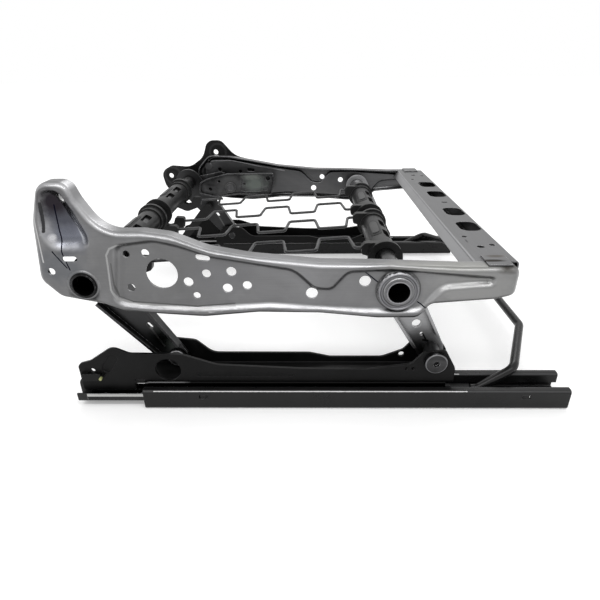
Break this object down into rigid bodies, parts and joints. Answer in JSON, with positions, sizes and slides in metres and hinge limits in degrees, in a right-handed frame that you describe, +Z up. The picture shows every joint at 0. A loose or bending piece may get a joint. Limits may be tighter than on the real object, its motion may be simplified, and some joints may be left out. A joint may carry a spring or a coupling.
{
  "type": "vehicle seat cushion frame with height adjuster",
  "caption": "Seat cushion frame on slide tracks: pressed side members, four-bar height links, torque tubes, gear drive, wire springs and release bar.",
  "frame": {"origin": "on the floor under the middle of the frame, at mid height setting with the tracks as pictured", "axes": "+X to the front of the seat, +Y to its far side, +Z up"},
  "size_m": [0.5619, 0.516, 0.247],
  "materials": {
    "pressed_steel": "bare pressed sheet with drawing marks",
    "pressed_steel_dark": "bare pressed sheet, darker",
    "black_coated_steel": "satin black coating",
    "pan_steel": "bare sheet, satin",
    "riser_coating": "charcoal dip coating",
    "track_coating": "charcoal dip coating",
    "bare_rail_steel": "bare steel, drawn along its length",
    "tube_steel": "drawn tube, slightly oily",
    "rear_link_steel": "bare dark sheet, oily",
    "front_link_steel": "bare sheet, satin",
    "gear_steel": "machined, greased",
    "zinc": "zinc plated",
    "lever_steel": "bare stamped steel",
    "ball_steel": "polished bearing balls",
    "black_plastic": "moulded, fine texture",
    "bush_plastic": "moulded",
    "cage_plastic": "moulded",
    "wire_steel": "thin dark coating"
  },
  "bodies": {
    "tracks": {"lower_rail_near": "track_coating", "lower_rail_far": "track_coating"},
    "ball_sets": {"rail_balls": "ball_steel", "ball_cages": "cage_plastic"},
    "carriage": {"upper_rail_near": "bare_rail_steel", "upper_rail_far": "bare_rail_steel", "riser_near": "riser_coating", "riser_far": "riser_coating", "rear_pivot_studs": "zinc", "front_pivot_bolts": "zinc", "front_pivot_spacers": "riser_coating", "front_pivot_nuts": "zinc", "rail_end_caps": "black_plastic", "lever_pins": "zinc", "rear_clips": "zinc"},
    "rear_link_frame": {"rear_link_near": "rear_link_steel", "rear_link_far": "rear_link_steel", "rear_torque_tube": "tube_steel", "sector_arm": "gear_steel", "spring_arm": "black_coated_steel"},
    "cushion_frame": {"side_member_near": "pressed_steel", "side_member_far": "pressed_steel_dark", "recliner_bracket_far": "black_coated_steel", "bracket_rivets": "zinc", "front_pan": "pan_steel", "horn_nut": "zinc", "rear_tube_bushes": "bush_plastic", "front_tube_bushes": "bush_plastic", "rear_sleeve_near": "black_plastic", "rear_sleeve_far": "black_plastic", "front_sleeve_near": "black_plastic", "front_sleeve_far": "black_plastic", "inner_wire_near": "wire_steel", "inner_wire_far": "wire_steel", "outer_wire_near": "wire_steel", "outer_wire_far": "wire_steel", "drive_bracket": "pressed_steel_dark", "pinion_bearing": "zinc"},
    "front_link_frame": {"front_link_near": "front_link_steel", "front_link_far": "front_link_steel", "front_torque_tube": "tube_steel"},
    "pinion": {"drive_pinion": "gear_steel"},
    "release": {"release_bar": "black_coated_steel", "lock_lever_near": "lever_steel", "lock_lever_far": "lever_steel"}
  },
  "joints": [
    {"name": "track_slide", "type": "slide", "parent": "tracks", "child": "carriage", "axis": [1, 0, 0], "range_m": [-0.024, 0.13]},
    {"name": "ball_roll", "type": "slide", "parent": "tracks", "child": "ball_sets", "axis": [1, 0, 0], "range_m": [-0.0125, 0.0655]},
    {"name": "lift", "type": "hinge", "parent": "carriage", "child": "rear_link_frame", "pos_m": [-0.15, 0, 0.0435], "axis": [0, 1, 0], "range_deg": [-18, 14]},
    {"name": "rear_tube_turn", "type": "hinge", "parent": "rear_link_frame", "child": "cushion_frame", "pos_m": [-0.225, 0, 0.145], "axis": [0, 1, 0], "range_deg": [-13.6, 17.3]},
    {"name": "front_tube_turn", "type": "hinge", "parent": "cushion_frame", "child": "front_link_frame", "pos_m": [0.0895, 0, 0.136], "axis": [0, 1, 0], "range_deg": [-21.4, 16.8]},
    {"name": "pinion_turn", "type": "hinge", "parent": "cushion_frame", "child": "pinion", "pos_m": [-0.14643, 0, 0.13674], "axis": [0, 1, 0], "range_deg": [-74.5, 95.5]},
    {"name": "release_lift", "type": "hinge", "parent": "carriage", "child": "release", "pos_m": [0.128, 0, 0.014], "axis": [0, -1, 0], "range_deg": [0, 8], "stiffness_Nm_per_rad": 4, "springref_deg": -5.73}
  ],
  "couplings": [
    {"joint": "ball_roll", "follows": "track_slide", "ratio": 0.5},
    {"joint": "rear_tube_turn", "follows": "lift", "ratio": -0.9403},
    {"joint": "front_tube_turn", "follows": "lift", "ratio": 1.166},
    {"joint": "pinion_turn", "follows": "lift", "ratio": -5.2501}
  ]
}
